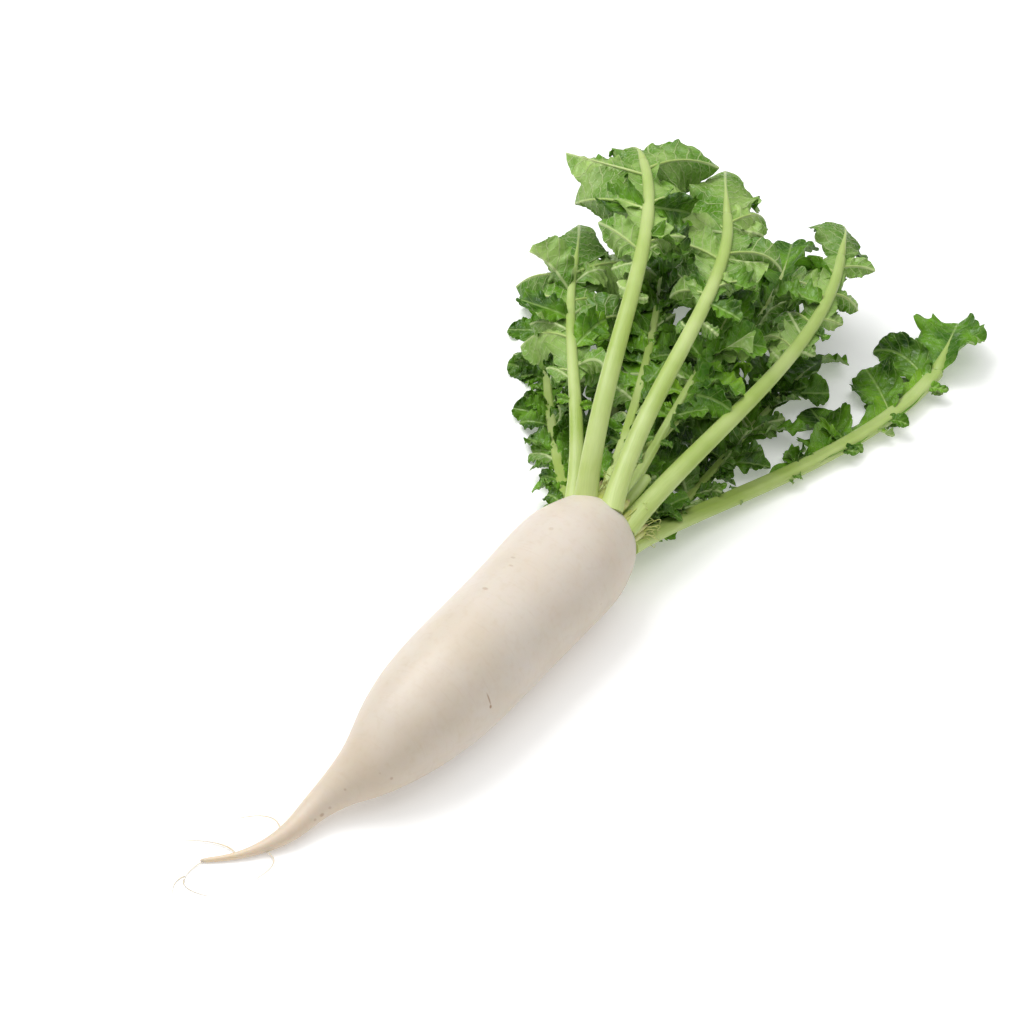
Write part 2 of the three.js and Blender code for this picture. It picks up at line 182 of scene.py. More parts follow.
# What the finer leaves add: grid, thickness in mm, small teeth, roundness of the lobes, frills,
# quilting between veins and puckers.
BLADE_COLUMNS = 10
BLADE_ROWS = 76
LEAFLET_COLUMNS = 6
LEAFLET_ROWS = 28
BLADE_THICKNESS = 0.5
SMALL_TEETH = 12
SMALL_TOOTH = 0.055
ROUNDNESS = 0.56
FRILL = 0.13
LEAFLET_FRILL = 0.24
QUILT = 0.9
CRUMPLE = 2.2
CURL = 0.36
SWAY = 0.16
WING_SHARE = 0.26
LEAFLETS = 5
LEAFY_LEAFLETS = 17
YOUNG_LEAFLETS = 6
LEAFY = "leaf_low_front", "leaf_low_middle", "leaf_low_back", "leaf_low_left", "leaf_middle"
BARE_STALKS = "leaf_low_right", "leaf_arched_right", "leaf_high_back", "leaf_high_middle"
TURNED_SHARE = 0.3
LOW_LEAF_REST = 10  # leaves that rest lower than this, in mm, get painted shade: darker colours as if shaded by the leaves above
# How much of its tint a low leaf keeps, which darkens it as painted shade.
LOW_LEAF_PAINTED_SHADE = 0.42
VEIN_SPACING = 7.5
STALK_RINGS = 44
STALK_SIDES = 20
RIB_RINGS = 16
RIB_SIDES = 8
HAIR_RINGS = 14
HAIR_SIDES = 8
BLADE_SMOOTH_ANGLE = 80
RIB_REACH = 0.93
SIDE_RIB_SUNK = 0.35
SIDE_RIB_THINNING = 0.8
END_RIB_THINNING = 2.4

# Round the crown: stumps of shed stalks and the threads between them, in mm.
CROWN_HEIGHT = 38
STUMPS = 30
STUMP_FOOT = 108
CROWN_SEED = 41
STUMP_SEED = 50
STUMP_GROOVE = 0.7
THREADS = 26
THREAD_FOOT = 113

# Camera and stage, in metres and degrees.
CAMERA_LENS = 80
CAMERA_SENSOR = 36
CAMERA_AWAY = 1.450
CAMERA_AZIMUTH = -54.41
CAMERA_ELEVATION = 42
CAMERA_TARGET = Vector((0.1256, 0.0767, 0))
FLOOR_SIZE = 30
FLOOR_WHITE = (0.9, 0.9, 0.9)
FLOOR_GLOW = 0.24
ROOM_LIGHT = 0.33
KEY_PLACE = (-0.8, 0.5, 1.8)  # metres to the camera's right, beyond the target and up
KEY_SIZE = 1.2
KEY_WATTS = 23
TOP_HEIGHT = 2.2
TOP_SIZE = 2.6
TOP_WATTS = 30

# Colours, linear.
IVORY = (0.71, 0.64, 0.555)
IVORY_SHADE = (0.66, 0.57, 0.455)
TAIL_IVORY = (0.71, 0.59, 0.45)
LINE_BROWN = (0.55, 0.42, 0.26)
PORE_BROWN = (0.34, 0.18, 0.07)
CROWN_GREEN = (0.52, 0.56, 0.24)
STALK_FOOT = (0.51, 0.62, 0.19)
STALK_GREEN = (0.38, 0.50, 0.11)
STALK_TOP = (0.42, 0.55, 0.17)
STALK_LINE = (0.30, 0.46, 0.08)
# Pale patches painted on the stalks as highlights.
STALK_PAINTED_HIGHLIGHT = (0.64, 0.73, 0.34)
STUMP_GREEN = (0.46, 0.52, 0.10)
STUMP_PALE = (0.68, 0.70, 0.30)
STUMP_BROWN = (0.28, 0.19, 0.08)
LEAF_DEEP = (0.013, 0.06, 0.001)
LEAF_MID = (0.085, 0.27, 0.007)
LEAF_LIGHT = (0.21, 0.48, 0.025)
UNDER_DARK = (0.07, 0.21, 0.012)
LEAF_BRIGHT = (0.33, 0.60, 0.025)
LEAF_GLOW = (0.36, 0.62, 0.03)
VEIN_PALE = (0.36, 0.55, 0.14)
UNDER_DEEP = (0.13, 0.32, 0.02)
UNDER_LIGHT = (0.50, 0.72, 0.20)
UNDER_VEIN = (0.68, 0.80, 0.38)


def chance(seed, count):
    """A repeatable number from 0 to 1 for each seed and count."""
    s = math.sin(seed * 12.9898 + count * 78.233) * 43758.5453
    return s - math.floor(s)


def unit(a):
    return a / np.linalg.norm(a, axis=-1, keepdims=True)


def turned(a, axis, angle):
    """Vectors turned about unit axes by angles."""
    angle = np.asarray(angle)[..., None]
    along = np.sum(a * axis, axis=-1, keepdims=True)
    return a * np.cos(angle) + np.cross(axis, a) * np.sin(angle) + axis * along * (1 - np.cos(angle))


def bezier(points, t):
    """Places and unit directions at t along a Bezier curve."""
    t = np.asarray(t, float)[:, None]
    level = [np.asarray(p, float) for p in points]
    while len(level) > 2:
        level = [a * (1 - t) + b * t for a, b in zip(level, level[1:])]
    first, last = level
    return first * (1 - t) + last * t, unit(last - first + np.zeros((len(t), 3)))


def frames(points, inner, t):
    """Place, direction, side and inner normal at t along a curve."""
    place, along = bezier(points, t)
    inner = np.asarray(inner, float)
    normal = unit(inner - np.sum(along * inner, axis=1, keepdims=True) * along)
    return place, along, np.cross(along, normal), normal


def catmull(stations, t):
    """Values at t (0 first, 1 last) on a smooth curve through stations."""
    p = np.asarray(stations, float)
    p = np.vstack([2 * p[0] - p[1], p, 2 * p[-1] - p[-2]])
    last = len(stations) - 2
    x = np.asarray(t, float) * (last + 1)
    i = np.clip(np.floor(x).astype(int), 0, last)
    w = (x - i)[:, None]
    a, b, c, d = p[i], p[i + 1], p[i + 2], p[i + 3]
    m, n = (c - a) / 2, (d - b) / 2
    return b + m * w + (3 * c - 3 * b - 2 * m - n) * w**2 + (2 * b - 2 * c + m + n) * w**3


def root_at(t):
    """Places of the root's axis and its radii at t."""
    out = catmull(ROOT_STATIONS, np.atleast_1d(t))
    return out[:, :3] - (0, 0, REST_DEPTH), out[:, 3]


def clear_selection():
    bpy.ops.object.select_all(action="DESELECT")


def apply_modifier(piece, kind, name, **settings):
    modifier = piece.modifiers.new(name, kind)
    for key, value in settings.items():
        setattr(modifier, key, value)
    bpy.context.view_layer.objects.active = piece
    bpy.ops.object.modifier_apply(modifier=modifier.name)


def coordinates(piece):
    co = np.empty(len(piece.data.vertices) * 3)
    piece.data.vertices.foreach_get("co", co)
    return co.reshape(-1, 3)


def set_coordinates(piece, co):
    piece.data.vertices.foreach_set("co", np.ascontiguousarray(co, dtype=np.float32).ravel())
    piece.data.update()


def set_attribute(piece, name, values):
    found = piece.data.attributes.new(name, "FLOAT", "POINT")
    found.data.foreach_set("value", np.ascontiguousarray(values, dtype=np.float32))


def set_uv(piece, u, v):
    """A UV map from one pair of values for each vertex."""
    mesh = piece.data
    corner = np.empty(len(mesh.loops), int)
    mesh.loops.foreach_get("vertex_index", corner)
    layer = mesh.uv_layers[0] if mesh.uv_layers else mesh.uv_layers.new(name="UVMap")
    layer.data.foreach_set("uv", np.column_stack([u[corner], v[corner]]).astype(np.float32).ravel())


def copied(pattern, name):
    piece = pattern.copy()
    piece.data = pattern.data.copy()
    piece.name = name
    bpy.context.scene.collection.objects.link(piece)
    return piece


def joined(pieces, name):
    """Several pieces as one, under a name."""
    clear_selection()
    for piece in pieces:
        piece.select_set(True)
    bpy.context.view_layer.objects.active = pieces[0]
    if len(pieces) > 1:
        bpy.ops.object.join()
    made = bpy.context.view_layer.objects.active
    made.name = name
    made.data.name = name
    return made


def smooth(piece, degrees=50):
    clear_selection()
    piece.select_set(True)
    bpy.context.view_layer.objects.active = piece
    bpy.ops.object.shade_smooth_by_angle(angle=math.radians(degrees))


def finish_piece(piece, slot, material, *nodes):
    piece.data.materials.clear()
    piece.data.materials.append(material)
    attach(piece, "root")
    if nodes:
        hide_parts(*nodes)


# Patterns that are modelled once and laid along each curve.
def draw_out(rings, sides):
    """A round body drawn out ring by ring from a filled circle. Each ring is (place, direction, radius)."""
    clear_selection()
    place, direction, radius = rings[0]
    bpy.ops.mesh.primitive_circle_add(vertices=sides, radius=radius, fill_type="NGON", location=place,
                                      rotation=direction.to_track_quat("Z", "Y").to_euler())
    bpy.ops.object.transform_apply(location=True, rotation=True, scale=True)
    body = bpy.context.object
    bpy.ops.object.mode_set(mode="EDIT")
    bpy.ops.mesh.select_all(action="SELECT")
    for (here, facing, radius), (there, ahead, next_radius) in zip(rings, rings[1:]):
        bpy.ops.mesh.extrude_region_move(TRANSFORM_OT_translate={"value": there - here})
        turn = math.atan2(facing.y, facing.x) - math.atan2(ahead.y, ahead.x)
        turn = (turn + math.pi) % (2 * math.pi) - math.pi
        if abs(turn) > 1e-4:
            bpy.ops.transform.rotate(value=turn, orient_axis="Z", center_override=there)
        share = next_radius / radius
        bpy.ops.transform.resize(value=(share, share, share), center_override=there)
    bpy.ops.mesh.select_all(action="SELECT")
    bpy.ops.mesh.normals_make_consistent(inside=False)
    bpy.ops.object.mode_set(mode="OBJECT")
    return body


def column_pattern(sides, rings):
    """A round column of unit radius along z from 0 to 1."""
    up = Vector((0, 0, 1))
    return draw_out([(up * (k / rings), up, 1.0) for k in range(rings + 1)], sides)


def blade_pattern(columns, rows):
    """A thin slab of leaf: x from -1 to 1 across, y from 0 to 1 along, z through its thickness."""
    clear_selection()
    bpy.ops.mesh.primitive_grid_add(x_subdivisions=columns, y_subdivisions=rows, size=2)
    slab = bpy.context.object
    bpy.ops.object.mode_set(mode="EDIT")
    bpy.ops.mesh.select_all(action="SELECT")
    bpy.ops.transform.translate(value=(0, 1, 0))
    bpy.ops.transform.resize(value=(1, 0.5, 1), center_override=(0, 0, 0))
    bpy.ops.object.mode_set(mode="OBJECT")
    apply_modifier(slab, "SOLIDIFY", "two faces", thickness=1, offset=0)
    return slab


def stalk_half(leaf, t):
    """Half the width of a leaf's stalk at t."""
    taper = 1 - (1 - leaf["slim"]) * t**STALK_TAPER
    return (leaf["width"] / 2) * (taper + BASE_FLARE * np.exp(-t / 0.06))


def laid_stalk(pattern, name, path, inner, half_at, ends, seed, groove=0.3):
    """A stalk along a path: wider than deep, grooved on the side that faces the heart."""
    piece = copied(pattern, name)
    y, x, z = coordinates(piece).T
    t = ends[0] + (ends[1] - ends[0]) * z
    place, _, side, normal = frames(path, inner, t)
    angle = np.arctan2(y, x)
    half = half_at(t) * (1 - 0.6 * np.clip((t - RIB_END) / (STALK_END - RIB_END), 0, 1) ** 2)
    facing = np.exp(-((angle - math.pi / 2) / 0.6) ** 2)
    ribs = 1 + 0.012 * np.cos(11 * angle + 5 * chance(seed, 1)) + 0.01 * np.sin(2 * angle + 9 * t)
    deep = STALK_DEPTH * (1 - groove * facing)
    co = place + side * (half * ribs * x)[:, None] + normal * (half * ribs * deep * y)[:, None]
    co[:, 2] = np.maximum(co[:, 2], FLOOR_GAP)
    set_coordinates(piece, co * MM)
    set_attribute(piece, "rise", t)
    set_attribute(piece, "around", angle)
    set_attribute(piece, "tint", np.full(len(x), chance(seed, 7)))
    return piece


def scallops(x):
    """Rounded teeth from -1 to 1 that stand at whole numbers, lean forward and part in narrow notches."""
    f = x - np.floor(x)
    f = np.where(f < 0.35, f / 0.7, 0.5 + (f - 0.35) / 1.3)
    return 2 * np.abs(np.cos(np.pi * f)) ** 0.6 - 1


def crumple(x, y, seed):
    """Soft uneven puckers over a blade, from -1 to 1, at places given in mm."""
    a = np.sin(x / 2.9 + 1.7 * np.sin(y / 4.7 + seed) + 3 * seed)
    b = np.sin(y / 2.3 + 1.3 * np.sin(x / 3.9 - 2 * seed) + 5 * seed)
    c = np.sin((x + y) / 1.35 + 1.1 * np.sin((x - y) / 2.2) + 7 * seed)
    return 0.45 * a * b + 0.35 * np.sin(x / 5.1 - y / 6.3 + 9 * seed) + 0.2 * c


def lobe_frames(lobe, v):
    """Place, direction, and turned side and normal of a lobe's midrib at v."""
    across = unit(np.cross(lobe["out"], lobe["normal"]))
    first = turned(lobe["out"], across, lobe["lean"])
    second = unit(first + lobe["droop"] * np.asarray(DOWN, float))
    bend = lobe["foot"] + first * lobe["length"] / 2
    tip = bend + second * lobe["length"] / 2
    bend[2] = max(bend[2], lobe["rest"])
    tip[2] = max(tip[2], lobe["rest"])
    place, along, side, normal = frames((lobe["foot"], bend, tip), lobe["normal"], v)
    angle = lobe["twist"] * (0.4 + 0.6 * v) + lobe["spin"] * v**2
    side, normal = turned(side, along, angle), turned(normal, along, angle)
    bent = lobe["length"] * v**2
    place = place + normal * (CURL * lobe["curl"] * bent)[:, None]
    place = place + side * (SWAY * lobe["sway"] * bent)[:, None]
    return place, along, side, normal


def vein_phase(lobe, away, v):
    """Whole numbers on the side veins, which slant forward from the midrib."""
    count = max(4, round(lobe["length"] / VEIN_SPACING))
    return count * (v - 0.9 * away / lobe["length"])


def lobe_half(lobe, v):
    """Half the width of a lobe at v, without its teeth, and how full it is there."""
    swell = np.maximum(0, np.sin(np.pi * v**1.15)) ** ROUNDNESS
    notch = 1 - lobe["notch"] * np.sin(3 * np.pi * v) ** 2
    return (lobe["width"] / 2) * (0.14 * (1 - v) + 0.05 * v + 0.9 * swell * notch), swell


def lobe_surface(lobe, u, v):
    """The middle of the blade, u from -1 to 1 across and v from 0 to 1 along."""
    v = np.clip(v, 0, 1)
    place, along, side, normal = lobe_frames(lobe, v)
    hand = np.where(u < 0, -1.0, 1.0)
    reach = np.abs(u)
    half, swell = lobe_half(lobe, v)
    phase = lobe["phase"]
    big = lobe["tooth"] * scallops(lobe["rows"] / 2 * v + 0.12 * np.sin(7 * v + 9 * phase + 2 * hand))
    small = SMALL_TOOTH * scallops(lobe["teeth"] * v + 3 * phase + 0.3 * hand)
    teeth = (lobe["width"] / 2) * 0.9 * swell * (big + small) * reach**3
    wave = u * u * WAVE * np.sin(2 * np.pi * (1.3 * v + phase + 0.35 * u))
    frill = lobe["frill"] * reach**2.5 * np.sin(2 * np.pi * (4.3 * v + 3 * phase + 0.4 * hand))
    frill = frill + 0.5 * lobe["frill"] * reach**3 * np.sin(2 * np.pi * (7.9 * v + 5 * phase - 0.3 * hand))
    fold = HOOD if lobe["normal"][2] < 0 else FOLD
    rise = half * (fold * reach + wave + frill + lobe["fold"] * reach**1.5)
    relief = 0.6 + lobe["length"] / 85
    bulge = np.cos(2 * np.pi * vein_phase(lobe, half * reach, v)) * np.sin(np.pi * np.minimum(reach, 1))
    rise = rise - QUILT * relief * bulge * swell
    rise = rise + CRUMPLE * relief * crumple(u * half, v * lobe["length"], phase) * reach**0.5 * swell
    out = place + side * (u * half + hand * teeth)[:, None] + normal * rise[:, None]
    out = out + along * (0.2 * np.abs(teeth))[:, None]
    out[:, 2] = np.maximum(out[:, 2], FLOOR_GAP + BLADE_THICKNESS / 2)
    return out


def thickened(surface, u, v, w):
    """Both faces of a blade, from its middle surface; w is above or below zero."""
    step = 1e-3
    along = surface(u, v + step) - surface(u, v - step)
    across = surface(u + step, v) - surface(u - step, v)
    normal = np.cross(across, along)
    normal = normal / (np.linalg.norm(normal, axis=1, keepdims=True) + 1e-12)
    thickness = BLADE_THICKNESS * (1 - 0.45 * np.abs(u) ** 3)
    co = surface(u, v) + normal * (np.sign(w) * thickness / 2)[:, None]
    co[:, 2] = np.maximum(co[:, 2], FLOOR_GAP / 2)
    return co


def laid_blade(pattern, name, lobe):
    """A leaf blade's slab laid on a lobe's surface."""
    piece = copied(pattern, name)
    u, v, w = coordinates(piece).T
    set_coordinates(piece, MM * thickened(lambda a, b: lobe_surface(lobe, a, b), u, v, w))
    half, _ = lobe_half(lobe, v)
    set_uv(piece, u * half / 10 + 7 * lobe["phase"], v * lobe["length"] / 10)
    set_attribute(piece, "rib", np.abs(u) * half)
    set_attribute(piece, "vein", vein_phase(lobe, np.abs(u) * half, v) + 20)
    set_attribute(piece, "under", np.where(w < 0, 1.0, 0.0))
    set_attribute(piece, "rise", v)
    set_attribute(piece, "tint", np.full(len(u), lobe["tint"]))
    return piece


def wing_surface(leaf, hand, u, v):
    """The ruffled strip of blade that runs along one side of a stalk between its lobes."""
    v = np.clip(v, 0, 1)
    out = (u + 1) / 2
    start = leaf["first"] - 0.05
    t = start + (RIB_END - start) * v
    place, along, side, normal = frames(leaf["path"], leaf["inner"], t)
    phase = chance(leaf["seed"], 60 + hand)
    grown = np.minimum(1, 0.05 + v / 0.3) ** 0.8 * (1 - 0.4 * v**4)
    reach = WING_SHARE * leaf["lobe"] * grown * (0.8 + 0.25 * np.sin(2 * np.pi * (2.6 * v + phase)))
    reach = reach * (1 + 0.18 * scallops(8 * v + phase) * out**2 + 0.06 * scallops(23 * v) * out**3)
    ruffle = 0.5 * out**2 * np.sin(2 * np.pi * (3.4 * v + 2 * phase))
    ruffle = ruffle + 0.15 * out**3 * np.sin(55 * v + 9 * phase)
    lean = math.radians(leaf["lean"] - 0.5 * leaf["hang"])
    away = side * hand * math.cos(lean) + normal * math.sin(lean)
    lift = np.cross(along, away) * -hand
    reach = reach * min(1, leaf["hands"][0 if hand > 0 else 1] ** 1.5)
    root = 0.75 * stalk_half(leaf, t)
    place = place + away * (root + reach * out)[:, None] - lift * (reach * ruffle)[:, None]
    place[:, 2] = np.maximum(place[:, 2], FLOOR_GAP + BLADE_THICKNESS / 2)
    return place


def laid_wing(pattern, name, leaf, hand):
    """A leaf blade's slab laid along one side of a stalk."""
    piece = copied(pattern, name)
    u, v, w = coordinates(piece).T
    co = thickened(lambda a, b: wing_surface(leaf, hand, a, b), u, v, w)
    set_coordinates(piece, MM * co)
    length = 0.5 * np.linalg.norm(np.subtract(leaf["path"][3], leaf["path"][0]))
    away = (u + 1) / 2 * WING_SHARE * leaf["lobe"]
    set_uv(piece, away / 10, v * length / 10)
    set_attribute(piece, "rib", away + 1.2)
    set_attribute(piece, "vein", v * length / VEIN_SPACING - away / 12 + 20)
    set_attribute(piece, "under", np.where(w * hand < 0, 1.0, 0.0))
    set_attribute(piece, "rise", v)
    set_attribute(piece, "tint", np.full(len(u), chance(leaf["seed"], 70)))
    return piece


def laid_rib(pattern, name, lobe, thick):
    """The raised midrib under a lobe, thin at its tip."""
    piece = copied(pattern, name)
    y, x, z = coordinates(piece).T
    place, _, side, normal = lobe_frames(lobe, RIB_REACH * z)
    radius = thick * (1 - z) ** lobe["thin"] * (1 - 0.25 * np.exp(-z / 0.03)) + 0.16
    co = place + side * (x * radius)[:, None] + normal * ((0.75 * y - lobe["sunk"]) * radius)[:, None]
    co[:, 2] = np.maximum(co[:, 2], FLOOR_GAP / 2)
    set_coordinates(piece, co * MM)
    set_attribute(piece, "rise", 0.7 + 0.3 * z)
    set_attribute(piece, "around", np.arctan2(y, x))
    set_attribute(piece, "tint", np.full(len(x), lobe["tint"]))
    return piece


def lobes_of(leaf, side_steps, end_steps):
    """The side lobes and the end lobe of a leaf, as its solid has them."""
    made = []
    seed = leaf["seed"]
    # Painted shade: a low leaf's lobes get a smaller tint, so they come out darker as if shaded by the leaves
    # above.
    painted_shade = LOW_LEAF_PAINTED_SHADE if leaf["rest"] < LOW_LEAF_REST else 1
    folded, flattest = (0.7, 0.3) if leaf["inner"] is DOWN else (0.6, -0.1)
    for pair in range(leaf["pairs"]):
        for hand in (1, -1):
            count = 2 * pair + (hand + 1) // 2
            grown = pair / (leaf["pairs"] - 1)
            vary = [chance(seed, count + 20 * kind) - 0.5 for kind in range(6)]
            t = leaf["first"] + (LAST_PAIR - leaf["first"]) * grown - 0.014 * hand
            place, along, side, normal = (a[0] for a in frames(leaf["path"], leaf["inner"], [t]))
            sweep = math.radians(SWEEP + 24 * vary[0])
            size = 0.55 + 0.45 * math.sin(math.pi / 2 * min(1, 1.5 * grown))
            length = leaf["lobe"] * size * (1 + 0.3 * vary[1]) * leaf["hands"][0 if hand > 0 else 1]
            made.append(dict(
                foot=place + side * hand * 0.45 * stalk_half(leaf, t),
                out=side * hand * math.cos(sweep) + along * math.sin(sweep), normal=normal,
                length=length, width=LOBE_WIDTH * length * (1 + 0.2 * vary[5]),
                lean=math.radians(leaf["lean"] + 24 * vary[2]), droop=leaf["droop"],
                twist=math.radians(hand * leaf["hang"] + 2 * LOBE_TWIST * vary[4]),
                rest=leaf["rest"], phase=vary[3], notch=0, rows=side_steps,
                tint=painted_shade * chance(seed, count + 5), tooth=TOOTH, teeth=SMALL_TEETH, frill=FRILL,
                sunk=SIDE_RIB_SUNK, thin=SIDE_RIB_THINNING,
                fold=flattest + folded * chance(seed, count + 31), curl=2 * chance(seed, count + 47) - 1,
                sway=2 * chance(seed, count + 53) - 1, spin=math.radians(100 * chance(seed, count + 59) - 50),
            ))
    place, along, side, normal = (a[0] for a in frames(leaf["path"], leaf["inner"], [RIB_END]))
    made.append(dict(
        foot=place, out=along, normal=normal, length=leaf["end"], width=END_WIDTH * leaf["end"],
        lean=math.radians(leaf["tip"]), droop=leaf["droop"], twist=0, rest=leaf["rest"],
        phase=chance(seed, 90), notch=0.16, rows=end_steps, tint=0.6 * chance(seed, 95), fold=0.1,
        tooth=0.5 * TOOTH, teeth=SMALL_TEETH, frill=FRILL, sunk=0, thin=END_RIB_THINNING,
        curl=chance(seed, 96) - 0.5, sway=chance(seed, 97) - 0.5, spin=chance(seed, 98) - 0.5,
    ))
    return made


def leaflets_of(leaf):
    """Smaller leaflets between and over the side lobes, and more that dwindle down the stalk."""
    made = []
    draw = random.Random(leaf["seed"])
    leafy = leaf["name"] in LEAFY
    young = leaf["inner"] is UP
    rising = math.copysign(1, leaf["inner"][2])
    count = LEAFY_LEAFLETS if leafy else YOUNG_LEAFLETS if young else LEAFLETS
    first = leaf["first"] - (0.3 if leafy else 0.2 if young else 0.13)
    highest = 4 if leaf["name"] in BARE_STALKS else 50
    for k in range(count):
        for hand in (1, -1):
            grown = (k + draw.uniform(-0.3, 0.3)) / (count - 1)
            t = first + (RIB_END - 0.08 - first) * grown
            share = 0.2 + 0.45 * math.sin(math.pi / 2 * min(1, max(0, 1.7 * grown)))
            if leafy or young:
                share = 0.36 + 0.3 * share
            place, along, side, normal = (a[0] for a in frames(leaf["path"], leaf["inner"], [t]))
            sweep = math.radians(draw.uniform(-10, 60))
            length = leaf["lobe"] * share * draw.uniform(0.75, 1.2) * leaf["hands"][0 if hand > 0 else 1]
            lean = rising * draw.uniform(highest - 62, highest)
            face = -1 if draw.random() < TURNED_SHARE else 1
            # Painted shade: the leaflets of the leafy leaves get a low tint, so the dense mass near the crown
            # comes out darker as if shaded.
            made.append(dict(
                foot=place + side * hand * 0.8 * stalk_half(leaf, t),
                out=side * hand * math.cos(sweep) + along * math.sin(sweep), normal=normal * face,
                length=length, width=0.66 * length, lean=math.radians(lean * face), droop=leaf["droop"],
                twist=math.radians(hand * leaf["hang"] + draw.uniform(-70, 70)), rest=leaf["rest"],
                phase=draw.uniform(-0.5, 0.5), notch=0.1, rows=5, tint=draw.uniform(0, 0.32 if leafy else 1),
                tooth=TOOTH, teeth=SMALL_TEETH / 2, frill=LEAFLET_FRILL, fold=draw.uniform(0, 0.7),
                curl=draw.uniform(-1.3, 1), sway=draw.uniform(-1.3, 1.3),
                spin=draw.uniform(-1.2, 1.2),
            ))
    return made


def emerging(path):
    """Where along its path a stalk comes out of the root, a little below the skin."""
    t = np.linspace(0, 0.4, 200)
    place, _ = bezier(path, t)
    axis, radius = root_at(np.linspace(0, 1, 400))
    away = np.hypot(place[:, 1] - axis[0, 1], place[:, 2] - axis[0, 2])
    skin = np.interp(away, radius[:60], axis[:60, 0])
    skin = np.where(away < radius[0], axis[0, 0] + CROWN_DOME * (1 - (away / radius[0]) ** 2), skin)
    inside = place[:, 0] < skin - 5
    return float(t[inside][-1]) if inside.any() else 0.0


def build_leaf(leaf, patterns, side_steps, end_steps):
    """A leaf's blades, and its stalk with the ribs."""
    blade, small_blade, column, rib = patterns
    name = leaf["name"]
    lobes = lobes_of(leaf, side_steps, end_steps)
    blades = [laid_blade(blade, f"{name}_blade", lobe) for lobe in lobes]
    blades += [laid_blade(small_blade, f"{name}_leaflet", lobe) for lobe in leaflets_of(leaf)]
    blades += [laid_wing(blade, f"{name}_wing", leaf, hand) for hand in (1, -1)]
    ends = (emerging(leaf["path"]), STALK_END)
    stalks = [laid_stalk(column, f"{name}_stalk", leaf["path"], leaf["inner"],
                         lambda t: stalk_half(leaf, t), ends, leaf["seed"])]
    for lobe in lobes:
        thick = 0.013 * lobe["length"] + 0.15
        if lobe is lobes[-1]:
            thick = 0.97 * float(stalk_half(leaf, RIB_END))
        stalks.append(laid_rib(rib, f"{name}_rib", lobe, thick))
    return blades, stalks


def root_rings():
    """Rings from the middle of the crown to the end of the tail, in metres."""
    t = np.linspace(0, 1, RINGS_PER_STATION * (len(ROOT_STATIONS) - 1) + 1)
    place, radius = root_at(t)
    ahead = unit(np.gradient(place, axis=0))
    rings = [(Vector(p * MM), Vector(a), r * MM) for p, a, r in zip(place, ahead, radius)]
    rim, facing, wide = rings[0]
    dome = []
    for share in (0.12, 0.4, 0.68, 0.88):
        rise = CROWN_DOME * (1 - share**2) * MM
        dome.append((rim + Vector((rise, 0, 0)), facing, wide * share))
    return dome + rings


def build_root():
    """The taproot, drawn out ring by ring, smoothed, and given its small unevenness and its flat."""
    body = draw_out(root_rings(), ROOT_SIDES)
    apply_modifier(body, "SUBSURF", "skin", levels=2, render_levels=2)
    co = coordinates(body) / MM
    samples = np.linspace(0, 1, 1500)
    axis, _ = root_at(samples)
    ahead = unit(np.gradient(axis, axis=0))
    nearest = np.empty(len(co), int)
    for first in range(0, len(co), 2000):
        part = slice(first, first + 2000)
        nearest[part] = np.argmin(((co[part, None] - axis[None]) ** 2).sum(2), axis=1)
    t = samples[nearest]
    normal = np.asarray(UP, float) - ahead[nearest] * ahead[nearest, 2:]
    normal = unit(normal)
    side = np.cross(ahead[nearest], normal)
    away = co - axis[nearest]
    angle = np.arctan2((away * normal).sum(1), (away * side).sum(1))
    uneven = np.sin(2 * angle + 9 * t) + 0.7 * np.sin(3 * angle - 23 * t) + np.sin(31 * t)
    fine = np.sin(61 * t + 2 * np.sin(angle)) + 0.6 * np.sin(97 * t - 1.5 * np.sin(angle + 1))
    share = (ROOT_WOBBLE * uneven + 0.0013 * fine) * np.minimum(1, 8 * t)
    across = away - ahead[nearest] * (away * ahead[nearest]).sum(1, keepdims=True)
    co = co + across * share[:, None]
    co[:, 2] = np.maximum(co[:, 2], 0)
    set_coordinates(body, co * MM)
    set_attribute(body, "rise", t)
    return body


def laid_hair(pattern, name, path, radius, tip=0.35):
    """A thin round fibre along a path."""
    piece = copied(pattern, name)
    y, x, z = coordinates(piece).T
    place, _, side, normal = frames(path, UP, z)
    wide = radius * (1 - (1 - tip) * z)
    co = place + side * (x * wide)[:, None] + normal * (y * wide)[:, None]
    co[:, 2] = np.maximum(co[:, 2], 0.05)
    set_coordinates(piece, co * MM)
    set_attribute(piece, "rise", np.full(len(x), 0.7))
    return piece


def stump_half(wide, t):
    """Half the width of a stump at t, drawn in at its torn end."""
    return wide / 2 * (1 - 0.3 * t) * (1 - 0.7 * np.maximum(0, t - 0.85) / 0.15)


